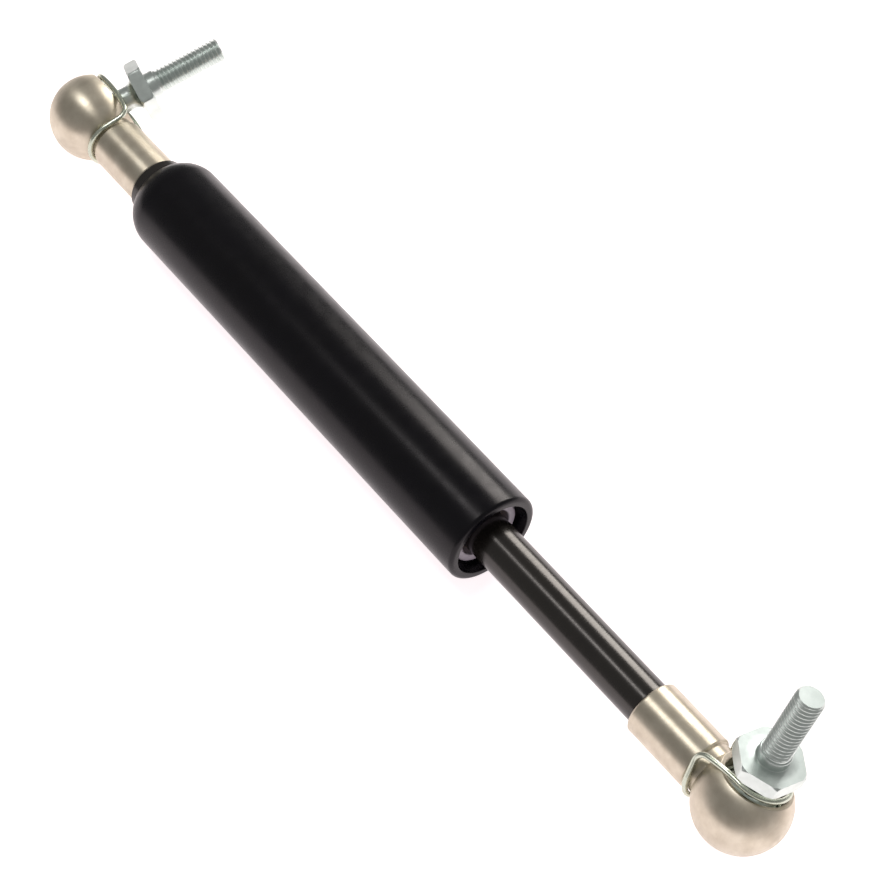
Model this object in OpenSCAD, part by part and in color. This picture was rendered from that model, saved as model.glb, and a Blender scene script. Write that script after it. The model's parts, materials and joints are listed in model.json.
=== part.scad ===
// Gas strut stay: a gas spring with a ball socket and a threaded ball stud at each end.
// The rod is drawn fully out. All sizes are in millimetres and degrees.
// Frame: origin at the ball centre of the tube end, +X along the strut, +Z up.
// End 1 is the tube end. End 2 is the rod end, with its ball centre on the X axis.

/* [Strut] */
// Distance between the two ball centres with the rod fully out
centre_distance = 227.4; // [220:0.1:240]
// Distance the rod slides into the tube
stroke = 45; // [30:1:50]
// Length of rod still outside the tube with the rod fully in
closed_gap = 4.5; // [3:0.5:8]

/* [Pressure tube] */
// Outside diameter of the tube
tube_diameter = 22; // [21:0.5:24]
// Wall thickness of the tube
tube_wall = 1.5; // [1.2:0.1:1.8]
// Outside radius of the rounded closed end
dome_radius = 8; // [6:0.5:8]
// How far the rolled lip reaches inward past the tube bore
lip_overhang = 0.5; // [0.3:0.1:0.6]

/* [Piston rod] */
// Diameter of the piston rod
rod_diameter = 10; // [9:0.5:11]
// Length of the piston body
piston_length = 6; // [5:0.5:8]

/* [Ball sockets] */
// Diameter of the balls
ball_diameter = 13; // [12:0.5:13.5]
// Outside diameter of the round socket head
head_diameter = 20; // [19.5:0.5:21]
// Diameter of the socket shank
shank_diameter = 12.5; // [12:0.5:14]
// Length from the ball centre to the end of the shank
socket_length = 26.7; // [26:0.1:30]
// Elevation of the mouth of socket 1 from +Y toward +Z
cup_1_elevation = 16.5; // [0:0.5:90]
// Elevation of the mouth of socket 2 from +Y toward +Z
cup_2_elevation = 60; // [0:0.5:90]
// Diameter of the safety clip wire
wire_diameter = 1.2; // [1:0.1:1.4]

/* [Ball studs] */
// Width of the hexagon across its flats
hex_flats = 13; // [11:0.5:13]
// Diameter of the stud thread
stud_thread = 6; // [5:0.5:6]
// Length from the ball centre to the tip of the thread
stud_length = 34; // [28:0.5:36]
// Tilt of stud 1 away from the mouth axis of its socket, toward +X
stud_1_tilt = 13.5; // [0:0.5:18]
// Tilt of stud 2 away from the mouth axis of its socket
stud_2_tilt = 13.2; // [0:0.1:18]
// Heading of the tilt of stud 2 about the mouth axis, from +X
stud_2_heading = -70.8; // [-180:0.1:180]
// Turn of the hexagon of stud 1 about its own axis
stud_1_turn = 30; // [0:1:60]
// Turn of the hexagon of stud 2 about its own axis
stud_2_turn = 36; // [0:1:60]

/* [Hidden] */
$fn = 96;
fit_gap = 0.05;
thread_gap = 0.03;

tube_r = tube_diameter / 2;
bore_r = tube_r - tube_wall;
sliding_r = bore_r - fit_gap;
rod_r = rod_diameter / 2;

collar_length = 2.6;
collar_r = 7;
dome_cut = 1;
dome_hole_r = 5.5;
tube_start = socket_length + collar_length;
tube_end = centre_distance - socket_length - stroke - closed_gap;
dome_x = tube_start + dome_radius - dome_cut;
dome_r = tube_r - dome_radius;
lip_round = 1.6;
lip_depth = 3.1;
lip_x = tube_end - lip_depth;
lip_r = bore_r - lip_overhang;

end_ring_x = lip_x - 2.4;
end_ring_face_x = lip_x + 0.8;
guide_x = end_ring_x - 8;
seal_x = guide_x - 4.5;
seal_washer_x = seal_x - 1.3;
spacer_x = seal_washer_x - 10.2;
piston_front_x = spacer_x - 0.1;
piston_x = piston_front_x - piston_length;
rod_washer_length = 1.5;
gas_washer_length = 1.2;
rivet_length = 1.5;
rod_shoulder_x = piston_front_x + rod_washer_length;
rivet_x = piston_x - gas_washer_length;

oring_r = 0.75;
oring_x = guide_x + 4;
oring_centre_r = bore_r - 0.03 - oring_r;
piston_r = bore_r - 0.4;
ring_width = 2.4;
ring_x = piston_x + (piston_length - ring_width) / 2;
ring_inner_r = bore_r - 1.3;
ring_slot = 1.2;
spigot_r = 3;

m8_r = 3.97;
m8_hole_r = m8_r + thread_gap;
m8_length = 13;
m8_hole_length = 13.5;
tip_chamfer = 0.5;
rod_end_x = centre_distance - socket_length;
plug_length = 6;
plug_chamfer = 1;

ball_r = ball_diameter / 2;
cup_r = ball_r + 0.1;
mouth_r = ball_r + 0.15;
head_r = head_diameter / 2;
lip_top = 6.4;
mouth_bevel = 0.35;
neck_x = 7.2;
neck_r = 5.6;
shank_x = 10.5;
shank_r = shank_diameter / 2;
shank_chamfer = 0.4;

snap_wire_r = 0.5;
snap_height = 3.1;
snap_centre_r = ball_r - 0.1;
snap_angle = 325;
groove_r = ball_r + 0.55;
groove_height = 1.2;

wire_r = wire_diameter / 2;
wire_trim = 0.06;
clip_x = 9.75;
clip_r = neck_r + wire_r + 0.2;
clip_top = lip_top + wire_r + 0.4;
clip_lean = 8;
clip_bend = 2.5;
clip_turn = 84;
// The crown is the shallow arc that brings each leg level with the rim at the mouth axis.
crown_turn = 90 + clip_lean - clip_turn;
crown_rise = tan(crown_turn / 2);
crown_start = clip_turn - clip_lean;
bend_shift_x = clip_bend * (cos(crown_start) - cos(clip_lean));
bend_shift_z = clip_bend * (sin(crown_start) + sin(clip_lean));
clip_leg = (clip_top - bend_shift_z - (clip_x + bend_shift_x) * crown_rise)
    / (cos(clip_lean) + sin(clip_lean) * crown_rise);
leg_end = [clip_x + clip_leg * sin(clip_lean), clip_leg * cos(clip_lean)];
bend_centre = leg_end + clip_bend * [-cos(clip_lean), sin(clip_lean)];
crown_end_x = leg_end.x + bend_shift_x;
crown_r = crown_end_x / sin(crown_turn);
crown_start_z = clip_top - crown_r * (1 - cos(crown_turn));

stud_neck_r = 2.9;
flare_r = 2;
hex_x = 11.9;
hex_length = 3.3;
hex_r = hex_flats / sqrt(3);
hex_chamfer = 0.5;
stud_collar_r = stud_thread / 2 + 0.35;
stud_collar_x = hex_x + hex_length;
stud_collar_length = 2.1;
stud_r = stud_thread / 2;

tube_black = [0.035, 0.035, 0.04];
rod_black = [0.07, 0.06, 0.055];
zinc = [0.68, 0.66, 0.60];
plain_steel = [0.55, 0.56, 0.57];
spring_steel = [0.50, 0.51, 0.48];
end_grey = [0.50, 0.47, 0.52];
seal_black = [0.03, 0.03, 0.03];
bronze = [0.62, 0.47, 0.26];
ring_white = [0.86, 0.84, 0.78];

// Profile points are [radius, position along the axis].
module turned_x() {
    rotate([0, 90, 0]) rotate_extrude() children();
}

module band(start, finish, inner, outer) {
    translate([inner, start]) square([outer - inner, finish - start]);
}

module at_cup_1() {
    rotate([cup_1_elevation - 90, 0, 0]) children();
}

module at_cup_2() {
    translate([centre_distance, 0, 0]) rotate([cup_2_elevation - 90, 0, 0]) children();
}

// Quarter round of the closed end, between its flat face and the straight tube.
module dome_quarter(radius) {
    intersection() {
        translate([dome_r, dome_x]) circle(radius);
        band(dome_x - radius - 1, dome_x, dome_r, dome_r + radius + 1);
    }
}

module tube_outline() {
    band(dome_x, tube_end - lip_round, 0, tube_r);
    band(tube_end - lip_round, tube_end, 0, tube_r - lip_round);
    intersection() {
        translate([tube_r - lip_round, tube_end - lip_round]) circle(lip_round);
        band(tube_end - lip_round, tube_end + 1, tube_r - lip_round, tube_r + 1);
    }
    intersection() {
        dome_quarter(dome_radius);
        band(tube_start, dome_x, 0, tube_r + 1);
    }
    band(tube_start, dome_x, 0, dome_r);
}

module tube_hollow() {
    band(dome_x, lip_x, 0, bore_r);
    band(lip_x, tube_end + 1, 0, lip_r);
    dome_quarter(dome_radius - tube_wall);
    band(dome_x - dome_radius + tube_wall, dome_x, 0, dome_r);
    band(tube_start - 1, dome_x, 0, dome_hole_r);
}

module pressure_tube() {
    color(tube_black) turned_x() difference() {
        tube_outline();
        tube_hollow();
    }
}

// Plug with an M8 stud and a collar outside, and a disc that the gas pushes against the closed end.
module end_plug() {
    neck = dome_hole_r - fit_gap;
    disc = bore_r - 0.1;
    tip = socket_length - m8_length;
    back = dome_x + plug_length;
    color(rod_black) turned_x() polygon([
        [0, tip],
        [m8_r - tip_chamfer, tip],
        [m8_r, tip + tip_chamfer],
        [m8_r, socket_length],
        [collar_r - 0.6, socket_length],
        [collar_r, socket_length + 0.6],
        [collar_r, tube_start],
        [neck, tube_start],
        [neck, tube_start + 1.7],
        [disc - 1.4, dome_x - 2.5],
        [disc, dome_x],
        [disc, back - plug_chamfer],
        [disc - plug_chamfer, back],
        [0, back]
    ]);
}

module guide_bush() {
    color(bronze) turned_x() difference() {
        band(guide_x, end_ring_x, rod_r + thread_gap, sliding_r);
        band(oring_x - 1, oring_x + 1, oring_centre_r - oring_r - 0.02, bore_r);
    }
}

module outer_oring() {
    color(seal_black) turned_x() translate([oring_centre_r, oring_x]) circle(oring_r);
}

module rod_seal() {
    color(seal_black) turned_x() difference() {
        band(seal_x, guide_x, rod_r + fit_gap, bore_r - 0.1);
        band(seal_x - 1, seal_x + 1.5, rod_r + 1.4, rod_r + 2.6);
    }
}

module seal_washer() {
    color(plain_steel) turned_x() band(seal_washer_x, seal_x, rod_r + 0.3, bore_r - 0.1);
}

module end_ring() {
    color(end_grey) turned_x() {
        band(end_ring_x, lip_x, rod_r + 1, sliding_r);
        band(lip_x, end_ring_face_x, rod_r + 1, lip_r - 0.4);
    }
}

module spacer_sleeve() {
    color(plain_steel) turned_x() band(spacer_x, seal_washer_x, bore_r - 1.2, bore_r - 0.2);
}

module piston_rod() {
    tip = rod_end_x + m8_length;
    color(rod_black) turned_x() polygon([
        [0, rivet_x - rivet_length],
        [spigot_r, rivet_x - rivet_length],
        [spigot_r + 1, rivet_x - rivet_length + 0.8],
        [spigot_r + 1, rivet_x],
        [spigot_r, rivet_x],
        [spigot_r, rod_shoulder_x],
        [rod_r, rod_shoulder_x],
        [rod_r, rod_end_x - shank_chamfer],
        [rod_r - shank_chamfer, rod_end_x],
        [m8_r, rod_end_x],
        [m8_r, tip - tip_chamfer],
        [m8_r - tip_chamfer, tip],
        [0, tip]
    ]);
}

module piston() {
    color(plain_steel) turned_x() difference() {
        band(piston_x, piston_front_x, spigot_r + thread_gap, piston_r);
        band(ring_x - fit_gap, ring_x + ring_width + fit_gap, ring_inner_r - 0.1, bore_r);
    }
}

// Split ring: its gap lets the gas pass slowly from one side of the piston to the other.
module piston_ring() {
    color(ring_white) difference() {
        turned_x() band(ring_x, ring_x + ring_width, ring_inner_r, sliding_r);
        translate([ring_x - 1, -ring_slot / 2, 0]) cube([ring_width + 2, ring_slot, tube_r]);
    }
}

module rod_side_washer() {
    color(plain_steel) turned_x()
        band(piston_front_x, rod_shoulder_x, spigot_r + thread_gap, bore_r - 2);
}

module gas_side_washer() {
    color(plain_steel) turned_x()
        band(rivet_x, piston_x, spigot_r + thread_gap, bore_r - 3);
}

// Outside of the socket head, as [radius, height] about the mouth axis.
module head_outline() {
    intersection() {
        circle(head_r);
        band(-head_r - 1, lip_top, 0, head_r + 1);
    }
}

// Inside of the socket head: cup, straight mouth with its bevel, and the snap ring groove.
module head_hollow() {
    intersection() {
        circle(cup_r);
        band(-cup_r - 1, 0, 0, cup_r + 1);
    }
    band(0, lip_top + 1, 0, mouth_r);
    polygon([
        [0, lip_top - mouth_bevel],
        [mouth_r, lip_top - mouth_bevel],
        [mouth_r + mouth_bevel + 1, lip_top + 1],
        [0, lip_top + 1]
    ]);
    band(snap_height - groove_height / 2, snap_height + groove_height / 2, 0, groove_r);
}

module shank_outline() {
    polygon([
        [0, neck_x],
        [neck_r, neck_x],
        [neck_r, shank_x],
        [shank_r - shank_chamfer, shank_x],
        [shank_r, shank_x + shank_chamfer],
        [shank_r, socket_length - shank_chamfer],
        [shank_r - shank_chamfer, socket_length],
        [0, socket_length]
    ]);
}

// Ball socket with its mouth toward +Z and its shank along +X.
module ball_socket() {
    color(zinc) difference() {
        union() {
            rotate_extrude() head_outline();
            turned_x() shank_outline();
        }
        rotate_extrude() head_hollow();
        turned_x() band(socket_length - m8_hole_length, socket_length + 1, 0, m8_hole_r);
    }
}

// Arc of wire in the XY plane about the origin, a little short at both ends.
module wire_arc(radius, angle) {
    trim = wire_trim / radius * 180 / PI;
    rotate([0, 0, trim]) rotate_extrude(angle = angle - 2 * trim)
        translate([radius, 0]) circle(wire_r);
}

// Joins two stretches of wire, whose ends both stop inside it. The wire has this heading there.
module wire_joint(place, heading) {
    translate([place.x, place.y, 0]) rotate([0, 90, heading]) sphere(wire_r + 0.03);
}

// One side of the clip: up beside the neck, round the bend and along the crown.
module wire_leg() {
    translate([0, clip_r, 0]) rotate([90, 0, 0]) {
        wire_joint([clip_x, 0], 90 - clip_lean);
        wire_joint(leg_end, 90 - clip_lean);
        wire_joint([crown_end_x, crown_start_z], 180 - crown_turn);
        wire_joint([0, clip_top], 180);
        translate([clip_x, 0, 0]) rotate([0, 0, -clip_lean]) rotate([-90, 0, 0])
            translate([0, 0, wire_trim]) cylinder(h = clip_leg - 2 * wire_trim, r = wire_r);
        translate([bend_centre.x, bend_centre.y, 0]) rotate([0, 0, -clip_lean])
            wire_arc(clip_bend, clip_turn);
        translate([0, clip_top - crown_r, 0]) rotate([0, 0, 90 - crown_turn])
            wire_arc(crown_r, crown_turn);
    }
}

// Wire clip around the neck of the socket and over its rim, on the far side of the mouth.
module safety_clip() {
    color(spring_steel) {
        translate([clip_x, 0, 0]) rotate([0, 90 + clip_lean, 0]) rotate([0, 0, -90])
            wire_arc(clip_r, 180);
        wire_leg();
        mirror([0, 1, 0]) wire_leg();
        translate([0, 0, clip_top]) rotate([0, 0, 90]) wire_arc(clip_r, 180);
    }
}

// Round wire ring with a gap, in the groove above the ball.
module snap_ring() {
    color(spring_steel) translate([0, 0, snap_height])
        rotate_extrude(angle = snap_angle) translate([snap_centre_r, 0]) circle(snap_wire_r);
}

module hexagon_outline() {
    polygon([
        [0, hex_x],
        [hex_r - hex_chamfer, hex_x],
        [hex_r + 0.05, hex_x + hex_chamfer],
        [hex_r + 0.05, stud_collar_x - hex_chamfer],
        [hex_r - hex_chamfer, stud_collar_x],
        [0, stud_collar_x]
    ]);
}

// Ball stud along +Z, with its ball at the origin.
module ball_stud(turn) {
    color(zinc) {
        rotate_extrude() {
            intersection() {
                circle(ball_r);
                band(-ball_r - 1, ball_r + 1, 0, ball_r + 1);
            }
            band(0, hex_x + 0.1, 0, stud_neck_r);
            difference() {
                band(hex_x - flare_r, hex_x + 0.1, 0, stud_neck_r + flare_r);
                translate([stud_neck_r + flare_r, hex_x - flare_r]) circle(flare_r);
            }
            band(stud_collar_x - 1, stud_collar_x + stud_collar_length, 0, stud_collar_r);
            polygon([
                [0, stud_collar_x],
                [stud_r, stud_collar_x],
                [stud_r, stud_length - tip_chamfer],
                [stud_r - tip_chamfer, stud_length],
                [0, stud_length]
            ]);
        }
        intersection() {
            rotate([0, 0, turn]) translate([0, 0, hex_x])
                cylinder(h = hex_length, r = hex_r, $fn = 6);
            rotate_extrude() hexagon_outline();
        }
    }
}

module socket_1() {
    at_cup_1() ball_socket();
}

module clip_1() {
    at_cup_1() safety_clip();
}

module snap_ring_1() {
    at_cup_1() rotate([0, 0, 110]) snap_ring();
}

module ball_stud_1() {
    at_cup_1() rotate([0, stud_1_tilt, 0]) ball_stud(stud_1_turn);
}

module socket_2() {
    at_cup_2() mirror([1, 0, 0]) ball_socket();
}

module clip_2() {
    at_cup_2() mirror([1, 0, 0]) safety_clip();
}

module snap_ring_2() {
    at_cup_2() rotate([0, 0, 290]) snap_ring();
}

module ball_stud_2() {
    at_cup_2() rotate([0, 0, stud_2_heading]) rotate([0, stud_2_tilt, 0]) ball_stud(stud_2_turn);
}

pressure_tube();
end_plug();
guide_bush();
outer_oring();
rod_seal();
seal_washer();
end_ring();
spacer_sleeve();
piston_rod();
piston();
piston_ring();
rod_side_washer();
gas_side_washer();
socket_1();
clip_1();
snap_ring_1();
ball_stud_1();
socket_2();
clip_2();
snap_ring_2();
ball_stud_2();
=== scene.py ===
import json
import math

import bpy
from mathutils import Matrix, Vector

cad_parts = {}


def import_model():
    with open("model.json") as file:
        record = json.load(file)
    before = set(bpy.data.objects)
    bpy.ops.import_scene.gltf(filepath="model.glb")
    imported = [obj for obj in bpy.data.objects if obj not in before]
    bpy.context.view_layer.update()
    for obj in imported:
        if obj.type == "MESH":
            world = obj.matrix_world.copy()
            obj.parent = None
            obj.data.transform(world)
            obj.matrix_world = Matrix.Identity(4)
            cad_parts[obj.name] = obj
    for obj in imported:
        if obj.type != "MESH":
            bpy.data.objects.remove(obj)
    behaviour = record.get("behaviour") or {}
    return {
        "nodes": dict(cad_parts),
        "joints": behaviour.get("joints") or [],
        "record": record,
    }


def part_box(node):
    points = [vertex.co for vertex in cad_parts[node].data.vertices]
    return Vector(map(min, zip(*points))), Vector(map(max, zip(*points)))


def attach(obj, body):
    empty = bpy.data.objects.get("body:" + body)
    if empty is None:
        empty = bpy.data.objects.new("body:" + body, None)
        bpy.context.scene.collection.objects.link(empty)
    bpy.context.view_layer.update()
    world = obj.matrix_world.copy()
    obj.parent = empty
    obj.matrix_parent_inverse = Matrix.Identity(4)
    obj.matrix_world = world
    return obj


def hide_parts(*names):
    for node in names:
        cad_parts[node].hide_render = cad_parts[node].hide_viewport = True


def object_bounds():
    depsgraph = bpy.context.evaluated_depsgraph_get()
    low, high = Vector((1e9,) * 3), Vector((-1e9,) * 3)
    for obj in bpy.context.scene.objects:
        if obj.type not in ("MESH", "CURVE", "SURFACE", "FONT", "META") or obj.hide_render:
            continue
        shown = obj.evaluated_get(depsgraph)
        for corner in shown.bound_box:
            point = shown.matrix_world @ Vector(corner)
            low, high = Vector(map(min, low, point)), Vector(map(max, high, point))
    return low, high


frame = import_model()
cad_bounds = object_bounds()

# Lengths below are in millimetres, and MM turns them into Blender's metres.
MM = 0.001
TURN = 2 * math.pi
JOINTS = {joint["name"]: joint for joint in frame["joints"]}
MOUNTS = {mount["name"]: mount for mount in frame["record"]["mounts"]}
STRUT_MIDDLE = Vector(JOINTS["ball_2_swivel"]["pos_m"]) / 2

# Pressure tube. Its length and its outside radius come from the frame.
TUBE_WALL = 1.5
DOME_R = 8.0
DOME_CUT = 1.0
DOME_HOLE_R = 5.5
DOME_EDGE = 1.2
LIP_DEPTH = 3.1
LIP_OVERHANG = 0.5
LIP_ROUND = 1.0
LIP_EDGE = 0.18

# End ring inside the lip.
RING_BORE_R = 6.0
RING_RIM_R = 7.8
RING_GROOVE = 2.2

# Socket: the cup is turned about the mouth axis, the shank about the strut.
HEAD_R = 10.0
LIP_TOP = 6.4
LIP_FILLET = 0.25
MOUTH_BEVEL = 0.35
CUP_R = 6.6
MOUTH_R = 6.65
GROOVE_R = 7.05
GROOVE_LOW = 2.5
GROOVE_HIGH = 3.7
NECK_R = 5.6
NECK_START = 7.2
SHANK_R = 6.25
SHANK_START = 10.5
SHANK_END = 26.7
SHANK_HOLE_R = 4.0
SHANK_HOLE_START = 13.2

# Safety clip wire, measured in the same frame as its socket.
WIRE_R = 0.6
CLIP_X = 9.75
CLIP_R = 6.4
CLIP_TOP = LIP_TOP + WIRE_R + 0.4
CLIP_LEAN = math.radians(8)
CLIP_BEND = 2.5
CLIP_TURN = math.radians(84)

# Ball stud, measured from the ball centre along the stud.
BALL_R = 6.5
STUD_NECK_R = 2.9
FLARE_R = 2.0
HEX_LOW = 11.9
HEX_HIGH = 15.2
HEX_APOTHEM = 6.5
HEX_CHAMFER = 0.5
HEX_EDGE = 0.3
HEX_TURN_1 = math.radians(30)
HEX_TURN_2 = math.radians(36)
COLLAR_R = 3.35
COLLAR_END = 17.3
THREAD_R = 3.0
THREAD_PITCH = 1.0
THREAD_DEPTH = 0.4
THREAD_CREST = 0.12
THREAD_FLANK = 0.76
THREAD_END = 34.0
THREAD_CHAMFER = 0.5
RINGS_PER_PITCH = 12

# Faces that meet at more than this many degrees have a sharp edge between them.
SHARP_ANGLE = 40

# The middle stretch of a noise texture, which is spread over a finish's own range.
NOISE_LOW = 0.3
NOISE_HIGH = 0.7
NOISE_ROUGHNESS = 0.55


# ---------------------------------------------------------------- geometry


def basis(origin, z_axis, x_hint):
    """Frame with its Z along z_axis and its X as near x_hint as it can be."""
    z = Vector(z_axis).normalized()
    x = Vector(x_hint)
    x = (x - x.dot(z) * z).normalized()
    y = z.cross(x)
    place = Matrix((x, y, z)).transposed().to_4x4()
    place.translation = Vector(origin)
    return place


def rounded(corners, steps=6):
    """Points of an outline (radius, height) with an arc at each corner that has a fillet."""
    points = []
    last = len(corners) - 1
    for i, corner in enumerate(corners):
        here = Vector(corner[:2])
        fillet = corner[2] if len(corner) > 2 else 0
        if fillet == 0 or i in (0, last):
            points.append(here)
            continue
        back = (Vector(corners[i - 1][:2]) - here).normalized()
        ahead = (Vector(corners[i + 1][:2]) - here).normalized()
        half = back.angle(ahead) / 2
        reach = fillet / math.tan(half)
        centre = here + (back + ahead).normalized() * (fillet / math.sin(half))
        first = here + back * reach - centre
        sweep = (here + ahead * reach - centre).angle_signed(first)
        for k in range(steps + 1):
            angle = sweep * k / steps
            c, s = math.cos(angle), math.sin(angle)
            points.append(centre + Vector((c * first.x - s * first.y, s * first.x + c * first.y)))
    return [(p.x, p.y) for p in points]


def arc(centre, radius, start, finish, steps):
    """Points of an arc in an outline, with its angles in degrees from the +radius direction."""
    angles = [math.radians(start + (finish - start) * k / steps) for k in range(steps + 1)]
    return [(centre[0] + radius * math.cos(a), centre[1] + radius * math.sin(a)) for a in angles]


def add_mesh(name, points, faces, place, heights, sharp=SHARP_ANGLE):
    """Piece with smooth faces, and sharp edges where the faces meet at more than sharp degrees.

    Its place is worked into its points. Its UV map keeps each point's height along its own axis.
    """
    mesh = bpy.data.meshes.new(name)
    mesh.from_pydata([place @ (Vector(p) * MM) for p in points], [], faces)
    along = mesh.uv_layers.new(name="along").uv
    for loop in mesh.loops:
        along[loop.index].vector = (0.5, heights[loop.vertex_index])
    mesh.validate()
    mesh.shade_smooth()
    mesh.set_sharp_from_angle(angle=math.radians(sharp))
    piece = bpy.data.objects.new(name, mesh)
    bpy.context.scene.collection.objects.link(piece)
    return piece


def column(name, levels, place, angles, closed=False, sharp=SHARP_ANGLE):
    """Surface about Z from levels (height, radius), where the radius may be a function of the angle."""
    points = []
    rings = []
    for height, radius in levels:
        if radius == 0:
            rings.append([len(points)])
            points.append((0, 0, height))
            continue
        rings.append(list(range(len(points), len(points) + len(angles))))
        for a in angles:
            r = radius(a) if callable(radius) else radius
            points.append((r * math.cos(a), r * math.sin(a), height))
    pairs = list(zip(rings, rings[1:]))
    if closed:
        pairs.append((rings[-1], rings[0]))
    faces = []
    for low, high in pairs:
        for i in range(len(angles)):
            j = (i + 1) % len(angles)
            if len(low) == 1 and len(high) > 1:
                faces.append((low[0], high[j], high[i]))
            elif len(high) == 1 and len(low) > 1:
                faces.append((low[i], low[j], high[0]))
            elif len(low) > 1:
                faces.append((low[i], low[j], high[j], high[i]))
    return add_mesh(name, points, faces, place, [p[2] for p in points], sharp)


def lathe(name, outline, place, sides=128, closed=False, sharp=SHARP_ANGLE):
    """Surface about Z from an outline of (radius, height) points."""
    angles = [TURN * i / sides for i in range(sides)]
    levels = [(height, max(radius, 0)) for radius, height in outline]
    return column(name, levels, place, angles, closed, sharp)


def join_solids(piece, other):
    """Makes one solid of two that overlap, and removes the second object."""
    modifier = piece.modifiers.new("join", "BOOLEAN")
    modifier.operation = "UNION"
    modifier.solver = "EXACT"
    modifier.object = other
    bpy.context.view_layer.update()
    depsgraph = bpy.context.evaluated_depsgraph_get()
    mesh = bpy.data.meshes.new_from_object(piece.evaluated_get(depsgraph))
    piece.modifiers.clear()
    piece.data = mesh
    mesh.shade_smooth()
    mesh.set_sharp_from_angle(angle=math.radians(SHARP_ANGLE))
    bpy.data.objects.remove(other)


def wire(name, path, radius, place):
    """Round wire along a closed path of points."""
    curve = bpy.data.curves.new(name, "CURVE")
    curve.dimensions = "3D"
    curve.bevel_depth = radius * MM
    curve.bevel_resolution = 5
    spline = curve.splines.new("POLY")
    spline.points.add(len(path) - 1)
    for point, spot in zip(spline.points, path):
        point.co = (*(place @ (Vector(spot) * MM)), 1)
    spline.use_cyclic_u = True
    spline.use_smooth = True
    piece = bpy.data.objects.new(name, curve)
    bpy.context.scene.collection.objects.link(piece)
    return piece


# --------------------------------------------------------------- materials


class Finish:
    """Node material with helpers. Noise is in the object's own coordinates, in metres."""

    def __init__(self, name):
        self.material = bpy.data.materials.new(name)
        self.material.use_nodes = True
        self.tree = self.material.node_tree
        self.shader = self.tree.nodes["Principled BSDF"]
        self.coordinates = self.tree.nodes.new("ShaderNodeTexCoord")

    def link(self, out, into):
        self.tree.links.new(out, into)

    def noise(self, scale, detail=4.0, stretch=(1, 1, 1), space="Object"):
        """Noise with a cell of about 1/scale mm, drawn out along the axes with a small stretch.

        The UV space is in millimetres and the Object space in metres.
        """
        unit = 1.0 if space == "UV" else MM
        mapping = self.tree.nodes.new("ShaderNodeMapping")
        mapping.inputs["Scale"].default_value = [scale / unit * s for s in stretch]
        self.link(self.coordinates.outputs[space], mapping.inputs["Vector"])
        texture = self.tree.nodes.new("ShaderNodeTexNoise")
        texture.inputs["Scale"].default_value = 1.0
        texture.inputs["Detail"].default_value = detail
        texture.inputs["Roughness"].default_value = NOISE_ROUGHNESS
        self.link(mapping.outputs["Vector"], texture.inputs["Vector"])
        return texture.outputs["Fac"]

    def colour(self, fac, low, high):
        """Colour that wanders between low and high."""
        ramp = self.tree.nodes.new("ShaderNodeValToRGB")
        ramp.color_ramp.elements[0].position = NOISE_LOW
        ramp.color_ramp.elements[0].color = (*low, 1)
        ramp.color_ramp.elements[1].position = NOISE_HIGH
        ramp.color_ramp.elements[1].color = (*high, 1)
        self.link(fac, ramp.inputs["Fac"])
        self.link(ramp.outputs["Color"], self.shader.inputs["Base Color"])

    def rough(self, fac, low, high):
        """Roughness that wanders between low and high."""
        spread = self.tree.nodes.new("ShaderNodeMapRange")
        spread.inputs["From Min"].default_value = NOISE_LOW
        spread.inputs["From Max"].default_value = NOISE_HIGH
        spread.inputs["To Min"].default_value = low
        spread.inputs["To Max"].default_value = high
        self.link(fac, spread.inputs["Value"])
        self.link(spread.outputs["Result"], self.shader.inputs["Roughness"])

    def bump(self, fac, depth):
        """Relief of about depth mm, on top of any relief given before."""
        node = self.tree.nodes.new("ShaderNodeBump")
        node.inputs["Strength"].default_value = 1.0
        node.inputs["Distance"].default_value = depth * MM
        self.link(fac, node.inputs["Height"])
        before = self.shader.inputs["Normal"].links
        if before:
            self.link(before[0].from_socket, node.inputs["Normal"])
        self.link(node.outputs["Normal"], self.shader.inputs["Normal"])

    def set(self, **values):
        for key, value in values.items():
            self.shader.inputs[key.replace("_", " ")].default_value = value
        return self


ALONG_X = (1, 0.02, 0.02)


def black_coat():
    """Black paint with a faint orange peel, slightly blue-violet."""
    finish = Finish("black_coat")
    finish.colour(finish.noise(0.08), (0.0006, 0.0006, 0.0018), (0.0012, 0.0011, 0.0032))
    finish.rough(finish.noise(0.3), 0.24, 0.32)
    finish.bump(finish.noise(1.1, 3.0), 0.003)
    return finish.set(Metallic=0.0, IOR=1.34, Specular_Tint=(1.0, 0.95, 0.98, 1))


def dark_rod():
    """Blackened ground rod with fine grinding lines round it."""
    finish = Finish("dark_rod")
    finish.colour(finish.noise(0.15, 3.0), (0.008, 0.007, 0.006), (0.014, 0.012, 0.010))
    finish.rough(finish.noise(6.0, 3.0, ALONG_X), 0.17, 0.27)
    finish.bump(finish.noise(8.0, 3.0, ALONG_X), 0.0006)
    return finish.set(Metallic=0.0, IOR=1.6, Specular_Tint=(1.0, 0.95, 0.92, 1))


def plated(name, low, high, rough):
    """Bright plated steel with a soft cloudiness."""
    finish = Finish(name)
    finish.colour(finish.noise(0.35, 5.0), low, high)
    finish.rough(finish.noise(1.2, 4.0), *rough)
    finish.bump(finish.noise(2.0, 3.0), 0.0012)
    return finish.set(Metallic=1.0)


def turned(finish):
    """Turning lines about the X axis, which draw highlights out along it."""
    finish.rough(finish.noise(7.0, 4.0, ALONG_X), 0.36, 0.46)
    finish.bump(finish.noise(5.0, 4.0, ALONG_X), 0.0012)
    along = finish.tree.nodes.new("ShaderNodeVectorTransform")
    along.vector_type = "VECTOR"
    along.convert_from = "OBJECT"
    along.convert_to = "WORLD"
    along.inputs["Vector"].default_value = (1, 0, 0)
    finish.link(along.outputs["Vector"], finish.shader.inputs["Tangent"])
    return finish.set(Anisotropic=0.75)


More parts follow.
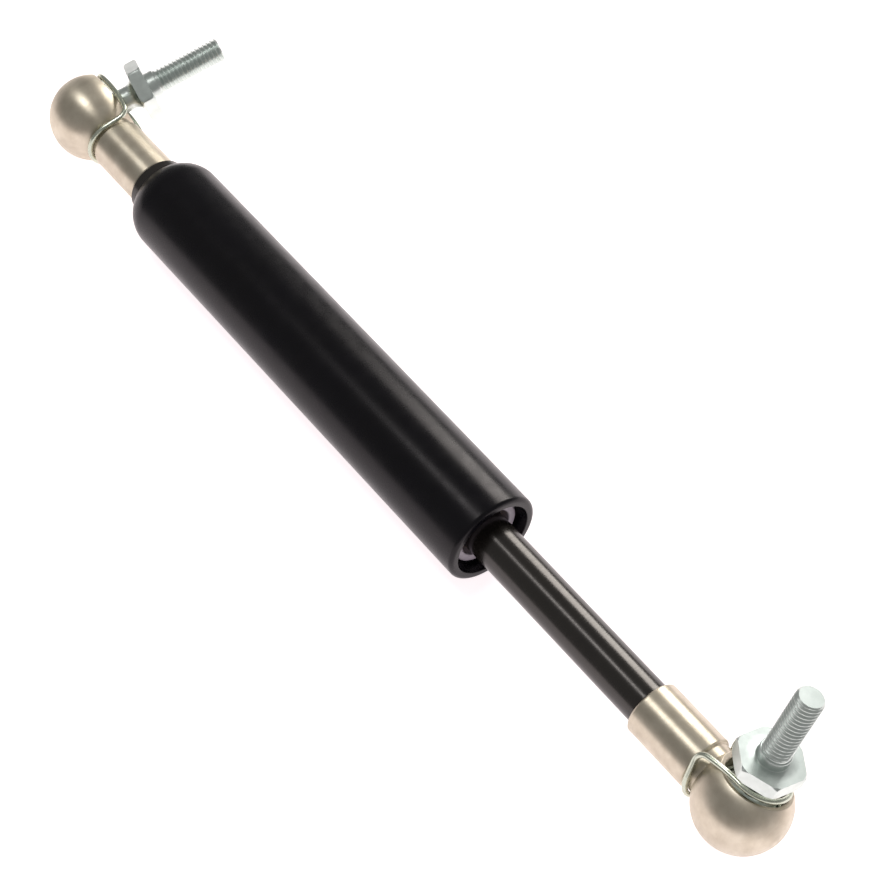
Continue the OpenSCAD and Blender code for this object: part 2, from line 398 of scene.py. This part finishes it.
def turned_stud(finish):
    """Fine turning lines about the stud's own axis."""
    finish.bump(finish.noise(5.0, 4.0, (0, 1, 0), "UV"), 0.0010)
    return finish


def moulded(name, low, high, rough, relief):
    """Plastic or rubber with a fine matt grain."""
    finish = Finish(name)
    finish.colour(finish.noise(0.4), low, high)
    finish.rough(finish.noise(1.5), *rough)
    finish.bump(finish.noise(4.0, 3.0), relief)
    return finish.set(Metallic=0.0)


def floor_paper():
    """White paper with a painted pool of light: it glows under the strut, and less so farther away."""
    finish = Finish("floor_paper")
    finish.colour(finish.noise(0.02, 2.0), (0.90, 0.87, 0.88), (0.92, 0.89, 0.90))
    distance = finish.tree.nodes.new("ShaderNodeVectorMath")
    distance.operation = "LENGTH"
    finish.link(finish.coordinates.outputs["Object"], distance.inputs[0])
    # Painted pool of light: the emission is strongest under the strut and fades farther away, which washes
    # out the shadows on the floor.
    painted_glow = finish.tree.nodes.new("ShaderNodeMapRange")
    painted_glow.interpolation_type = "SMOOTHSTEP"
    painted_glow.inputs["From Min"].default_value = 0.15
    painted_glow.inputs["From Max"].default_value = 0.6
    painted_glow.inputs["To Min"].default_value = 0.9
    painted_glow.inputs["To Max"].default_value = 0.1
    finish.link(distance.outputs["Value"], painted_glow.inputs["Value"])
    finish.link(painted_glow.outputs["Result"], finish.shader.inputs["Emission Strength"])
    # The painted glow is slightly pink. It clips to white on the floor but shows pink where the tube and
    # fittings reflect it.
    return finish.set(Roughness=0.9, Specular_IOR_Level=0.1, Emission_Color=(1.0, 0.91, 0.93, 1))


FINISHES = {
    "black_tube": black_coat(),
    "dark_rod": dark_rod(),
    "socket_zinc": turned(plated("socket_zinc", (0.56, 0.50, 0.40), (0.68, 0.62, 0.51), (0.2, 0.3))),
    "stud_zinc": turned_stud(plated("stud_zinc", (0.62, 0.68, 0.65), (0.74, 0.80, 0.77), (0.28, 0.38))),
    "clip_wire": plated("clip_wire", (0.50, 0.54, 0.44), (0.62, 0.66, 0.56), (0.20, 0.32)),
    "end_ring_grey": moulded("end_ring_grey", (0.34, 0.30, 0.36), (0.44, 0.40, 0.46), (0.35, 0.5), 0.004),
    "plain_steel": plated("plain_steel", (0.42, 0.42, 0.42), (0.56, 0.56, 0.55), (0.22, 0.36)),
    "bronze": plated("bronze", (0.45, 0.28, 0.11), (0.60, 0.40, 0.18), (0.30, 0.45)),
    "seal_rubber": moulded("seal_rubber", (0.012, 0.012, 0.012), (0.022, 0.022, 0.022), (0.5, 0.7), 0.006),
    "piston_ring": moulded("piston_ring", (0.70, 0.67, 0.60), (0.80, 0.77, 0.70), (0.4, 0.55), 0.004),
}


def paint(piece, slot):
    piece.data.materials.clear()
    piece.data.materials.append(FINISHES[slot].material)


# ------------------------------------------------------------------ pieces


def pressure_tube():
    """Tube with its rounded closed end and the lip rolled over the guide at the rod end."""
    low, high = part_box("pressure_tube")
    start, end, outer = low.x / MM, high.x / MM, high.z / MM
    inner = outer - TUBE_WALL
    dome_x = start + DOME_R - DOME_CUT
    dome_centre = (outer - DOME_R, dome_x)
    dome_start = math.degrees(math.acos((DOME_R - DOME_CUT) / DOME_R)) - 90
    lip_x = end - LIP_DEPTH
    lip_r = inner - LIP_OVERHANG
    lip = rounded([
        (outer, dome_x),
        (outer, end, LIP_ROUND),
        (lip_r, end, LIP_EDGE),
        (lip_r, lip_x),
    ], 10)[1:]
    outline = [(DOME_HOLE_R, start)]
    outline += arc(dome_centre, DOME_R, dome_start, 0, 24)
    outline += lip
    outline += [(inner, lip_x), (inner, dome_x)]
    outline += arc(dome_centre, DOME_R - TUBE_WALL, 0, -70, 10)
    outline += [(DOME_HOLE_R, start + DOME_EDGE)]
    place = basis((0, 0, 0), (1, 0, 0), (0, 0, 1))
    piece = lathe("tube_shell", outline, place, 160, closed=True, sharp=50)
    paint(piece, "black_tube")
    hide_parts("pressure_tube")
    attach(piece, "barrel")


def end_ring():
    """Grey ring round the rod inside the lip, with a raised rim and a deep groove outside it."""
    low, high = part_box("end_ring")
    start, face, outer = low.x / MM, high.x / MM, high.z / MM
    groove_x = face - RING_GROOVE
    outline = rounded([
        (RING_BORE_R, start),
        (outer, start),
        (outer, groove_x, 0.3),
        (RING_RIM_R, groove_x, 0.3),
        (RING_RIM_R, face, 0.45),
        (RING_BORE_R, face, 0.35),
        (RING_BORE_R, start),
    ], 5)[:-1]
    place = basis((0, 0, 0), (1, 0, 0), (0, 0, 1))
    piece = lathe("end_ring_turned", outline, place, 128, closed=True)
    paint(piece, "end_ring_grey")
    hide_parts("end_ring")
    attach(piece, "barrel")


def head_outline():
    """Ball-shaped head, cut off flat at its mouth, with the cup and the snap ring groove inside."""
    rim_angle = math.asin(LIP_TOP / HEAD_R)
    rim_r = HEAD_R * math.cos(rim_angle)
    outer = arc((0, 0), HEAD_R, -90, math.degrees(rim_angle) - 2, 44)
    rim = rounded([
        outer[-1],
        (rim_r, LIP_TOP, LIP_FILLET),
        (MOUTH_R + MOUTH_BEVEL, LIP_TOP, 0.12),
        (MOUTH_R, LIP_TOP - MOUTH_BEVEL, 0.12),
        (MOUTH_R, GROOVE_HIGH),
    ])[1:]
    groove = [(GROOVE_R, GROOVE_HIGH), (GROOVE_R, GROOVE_LOW), (MOUTH_R, GROOVE_LOW), (MOUTH_R, 0)]
    cup = arc((0, 0), CUP_R, 0, -90, 20)
    return outer + rim + groove + cup


def shank_outline():
    return rounded([
        (0, NECK_START),
        (NECK_R, NECK_START),
        (NECK_R, SHANK_START, 0.3),
        (SHANK_R - 0.4, SHANK_START, 0.1),
        (SHANK_R, SHANK_START + 0.4, 0.2),
        (SHANK_R, SHANK_END - 0.4, 0.2),
        (SHANK_R - 0.4, SHANK_END, 0.1),
        (SHANK_HOLE_R, SHANK_END),
        (SHANK_HOLE_R, SHANK_HOLE_START),
        (0, SHANK_HOLE_START),
    ], 4)


def socket(end, body, mouth, shank):
    """Socket: mouth is the frame of its mouth, and shank the frame with Z along its shank."""
    piece = lathe(f"socket_body_{end}", head_outline(), mouth)
    arm = lathe("shank", shank_outline(), shank, 96)
    join_solids(piece, arm)
    paint(piece, "socket_zinc")
    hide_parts(f"socket_{end}")
    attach(piece, body)


def leg_path():
    """One side of the clip as (x, height): up beside the neck, round the bend, along the crown."""
    crown_turn = math.pi / 2 + CLIP_LEAN - CLIP_TURN
    crown_rise = math.tan(crown_turn / 2)
    bend_end = CLIP_TURN - CLIP_LEAN
    shift_x = CLIP_BEND * (math.cos(bend_end) - math.cos(CLIP_LEAN))
    shift_z = CLIP_BEND * (math.sin(bend_end) + math.sin(CLIP_LEAN))
    length = (CLIP_TOP - shift_z - (CLIP_X + shift_x) * crown_rise) / (
        math.cos(CLIP_LEAN) + math.sin(CLIP_LEAN) * crown_rise
    )
    leg_end = Vector((CLIP_X + length * math.sin(CLIP_LEAN), length * math.cos(CLIP_LEAN)))
    bend_centre = leg_end + CLIP_BEND * Vector((-math.cos(CLIP_LEAN), math.sin(CLIP_LEAN)))
    crown_r = (leg_end.x + shift_x) / math.sin(crown_turn)
    lean = math.degrees(CLIP_LEAN)
    turn = math.degrees(CLIP_TURN)
    bend = arc(bend_centre, CLIP_BEND, -lean, turn - lean, 14)
    crown = arc((0, CLIP_TOP - crown_r), crown_r, 90 - math.degrees(crown_turn), 90, 12)
    return bend + crown[1:-1]


def clip_path():
    """Round the neck from below, up both sides, and round the rim on the side away from the shank."""
    across = [math.pi * k / 40 for k in range(41)]
    reach = (-math.sin(CLIP_LEAN), -math.cos(CLIP_LEAN))
    path = [
        (CLIP_X + CLIP_R * math.sin(a) * reach[0], CLIP_R * math.cos(a), CLIP_R * math.sin(a) * reach[1])
        for a in across
    ]
    path += [(x, -CLIP_R, height) for x, height in leg_path()]
    path += [(-CLIP_R * math.sin(a), -CLIP_R * math.cos(a), CLIP_TOP) for a in across]
    path += [(x, CLIP_R, height) for x, height in reversed(leg_path())]
    return path


def clip(end, body, mouth):
    piece = wire(f"clip_wire_{end}", clip_path(), WIRE_R, mouth)
    paint(piece, "clip_wire")
    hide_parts(f"clip_{end}")
    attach(piece, body)


def hex_radius(angle):
    """Radius of the hexagon with slightly rounded edges, with a corner at angle 0."""
    corner = (angle + math.pi / 6) % (math.pi / 3) - math.pi / 6
    centre = (HEX_APOTHEM - HEX_EDGE) / math.cos(math.pi / 6)
    across = centre * math.sin(abs(corner))
    flat = HEX_APOTHEM / math.cos(math.pi / 6 - abs(corner))
    if across >= HEX_EDGE / 2:
        return flat
    return min(flat, centre * math.cos(corner) + math.sqrt(HEX_EDGE**2 - across**2))


def hex_level(height):
    """Hexagon at this height, cut back at its corners by the chamfer of the nearer face."""
    depth = min(height - HEX_LOW, HEX_HIGH - height)
    corner_r = HEX_APOTHEM / math.cos(math.pi / 6)
    limit = corner_r - HEX_CHAMFER + depth
    return (height, lambda angle: min(hex_radius(angle), limit))


def thread_level(height):
    """Thread at this height: flat crests and roots, fading out at the collar and the tip."""
    run_in = min(max((height - COLLAR_END) / THREAD_PITCH, 0), 1)
    cone = THREAD_R - THREAD_CHAMFER + THREAD_END - height

    def radius(angle):
        phase = (height / THREAD_PITCH - angle / TURN) % 1
        slope = abs(2 * phase - 1)
        cut = 1 - min(max((slope - THREAD_CREST) / THREAD_FLANK, 0), 1)
        return min(THREAD_R - THREAD_DEPTH * run_in * cut, cone)

    return (height, radius)


def stud_angles():
    """Even angles, and more of them at the rounded edges of the hexagon."""
    angles = {round(TURN * i / 96, 9) for i in range(96)}
    for corner in range(6):
        for extra in (-1.16, -0.58, 0.58, 1.16):
            angles.add(round((math.pi / 3 * corner + math.radians(extra)) % TURN, 9))
    return sorted(angles)


def stud_levels():
    neck_foot = math.sqrt(BALL_R**2 - STUD_NECK_R**2)
    foot_angle = math.degrees(math.atan2(neck_foot, STUD_NECK_R))
    outline = arc((0, 0), BALL_R, -90, foot_angle, 48)
    outline += arc((STUD_NECK_R + FLARE_R, HEX_LOW - FLARE_R), FLARE_R, 180, 90, 10)
    levels = [(height, max(radius, 0)) for radius, height in outline]
    levels[0] = (-BALL_R, 0)
    chamfer = [HEX_CHAMFER * k / 5 for k in range(6)]
    levels += [hex_level(HEX_LOW + depth) for depth in chamfer]
    levels += [hex_level(HEX_HIGH - depth) for depth in reversed(chamfer)]
    collar = rounded([
        (HEX_APOTHEM - 1, HEX_HIGH),
        (COLLAR_R, HEX_HIGH, 0.1),
        (COLLAR_R, COLLAR_END, 0.25),
        (THREAD_R, COLLAR_END),
    ], 4)
    levels += [(height, radius) for radius, height in collar]
    count = round((THREAD_END - COLLAR_END) / THREAD_PITCH * RINGS_PER_PITCH)
    step = (THREAD_END - COLLAR_END) / count
    levels += [thread_level(COLLAR_END + step * k) for k in range(1, count + 1)]
    levels += [(THREAD_END, 0)]
    return levels


def ball_stud(end, place):
    piece = column(f"stud_body_{end}", stud_levels(), place, stud_angles(), sharp=35)
    paint(piece, "stud_zinc")
    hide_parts(f"ball_stud_{end}")
    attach(piece, f"stud_{end}")


def paint_cad_nodes():
    """Every CAD node that still shows takes the finish of its own slot."""
    for part in frame["record"]["subparts"]:
        paint(frame["nodes"][part["node"]], part["material_slot"])


def build_end(end, body, along):
    """Socket and clip of one end, where along points from its ball to the middle."""
    ball = JOINTS[f"ball_{end}_swivel"]["pos_m"]
    mouth_axis = Vector(JOINTS[f"ball_{end}_swivel"]["axis"])
    mouth = basis(ball, mouth_axis, along)
    socket(end, body, mouth, basis(ball, along, mouth_axis))
    clip(end, body, mouth)


paint_cad_nodes()
pressure_tube()
end_ring()
build_end(1, "barrel", (1, 0, 0))
build_end(2, "rod", (-1, 0, 0))
stud_1_axis = MOUNTS["tube_end_stud"]["axis"]
stud_2_axis = MOUNTS["rod_end_stud"]["axis"]
mouth_2_axis = Vector(JOINTS["ball_2_swivel"]["axis"])
stud_1_place = basis(JOINTS["ball_1_tilt"]["pos_m"], stud_1_axis, (1, 0, 0))
ball_stud(1, stud_1_place @ Matrix.Rotation(HEX_TURN_1, 4, "Z"))
stud_2_place = basis(JOINTS["ball_2_tilt"]["pos_m"], stud_2_axis, -mouth_2_axis)
ball_stud(2, stud_2_place @ Matrix.Rotation(HEX_TURN_2, 4, "Z"))


# ------------------------------------------------- floor, lights and camera


def floor():
    """Pale floor, 6 metres square, just under the tube."""
    half = 3000 * MM
    corners = [(-half, -half), (half, -half), (half, half), (-half, half)]
    mesh = bpy.data.meshes.new("floor")
    mesh.from_pydata([(x, y, 0) for x, y in corners], [], [(0, 1, 2, 3)])
    piece = bpy.data.objects.new("floor", mesh)
    piece.location = (STRUT_MIDDLE.x, 0, cad_bounds[0][2])
    bpy.context.scene.collection.objects.link(piece)
    mesh.materials.append(floor_paper().material)


def panel(name, place, size, radiance, colour, lit):
    """Rectangular light at a place in millimetres, turned to face the middle of the strut.

    The first length in size lies along the strut. Only the pieces in lit take its light.
    """
    light = bpy.data.lights.new(name, "AREA")
    light.shape = "RECTANGLE"
    light.size, light.size_y = [side * MM for side in size]
    light.energy = radiance * math.pi * light.size * light.size_y
    light.color = colour
    lamp = bpy.data.objects.new(name, light)
    location = Vector(place) * MM
    lamp.matrix_world = basis(location, location - STRUT_MIDDLE, (1, 0, 0))
    bpy.context.scene.collection.objects.link(lamp)
    group = bpy.data.collections.new(f"lit by {name}")
    for piece in lit:
        group.objects.link(piece)
    lamp.light_linking.receiver_collection = group


def around(distance, angle, along):
    """Place at this distance from the strut's axis and angle from +Y toward +Z, at x = along."""
    a = math.radians(angle)
    return (along, distance * math.cos(a), distance * math.sin(a))


def lights():
    """Window beyond the strut, ceiling light above it, and a soft fill on the metal fittings."""
    solids = [piece for piece in bpy.data.objects if piece.type in ("MESH", "CURVE")]
    studs = [piece for piece in solids if piece.name.startswith("stud_body")]
    fittings = [piece for piece in solids if piece.name.startswith(("socket_body", "clip_wire"))]
    all_but_studs = [piece for piece in solids if piece not in studs]
    all_but_fittings = [piece for piece in solids if piece not in fittings]
    white = (1.0, 0.99, 0.97)
    warm_white = (1.0, 0.96, 0.90)

    window = around(600, 33, -35)
    window_size = (250, 330)
    panel("window", window, window_size, 8, warm_white, all_but_studs)
    for stud, radiance in zip(studs, (1.1, 3.0)):
        panel(f"window on {stud.name}", window, window_size, radiance, white, [stud])

    ceiling = around(700, 103, -58)
    panel("ceiling", ceiling, (250, 110), 5.6, white, all_but_fittings)
    panel("ceiling on the fittings", ceiling, (260, 190), 8.5, white, fittings)
    panel("fill on the fittings", around(650, 66, -45), (420, 420), 0.35, white, fittings)


def world(colour, strength):
    """Even light of one colour from all round."""
    scene_world = bpy.data.worlds.new("studio")
    scene_world.use_nodes = True
    background = scene_world.node_tree.nodes["Background"]
    background.inputs["Color"].default_value = (*colour, 1)
    background.inputs["Strength"].default_value = strength
    bpy.context.scene.world = scene_world


def camera():
    """Camera that looks down on the strut from the side of the rod end."""
    aim_offset = (0, 17.04, -22.16)
    aim = STRUT_MIDDLE + Vector(aim_offset) * MM
    distance = 532.8 * MM
    elevation = math.radians(53.52)
    azimuth = math.radians(52.337)
    direction = Vector((
        math.cos(elevation) * math.sin(azimuth),
        -math.cos(elevation) * math.cos(azimuth),
        math.sin(elevation),
    ))
    lens = bpy.data.cameras.new("camera")
    lens.lens = 96.7
    lens.sensor_width = 36
    viewer = bpy.data.objects.new("camera", lens)
    viewer.location = aim + direction * distance
    viewer.rotation_euler = (math.pi / 2 - elevation, 0, azimuth)
    bpy.context.scene.collection.objects.link(viewer)
    bpy.context.scene.camera = viewer


floor()
world((1.0, 0.99, 0.97), 0.29)
lights()
camera()
bpy.context.scene.view_settings.view_transform = "Standard"
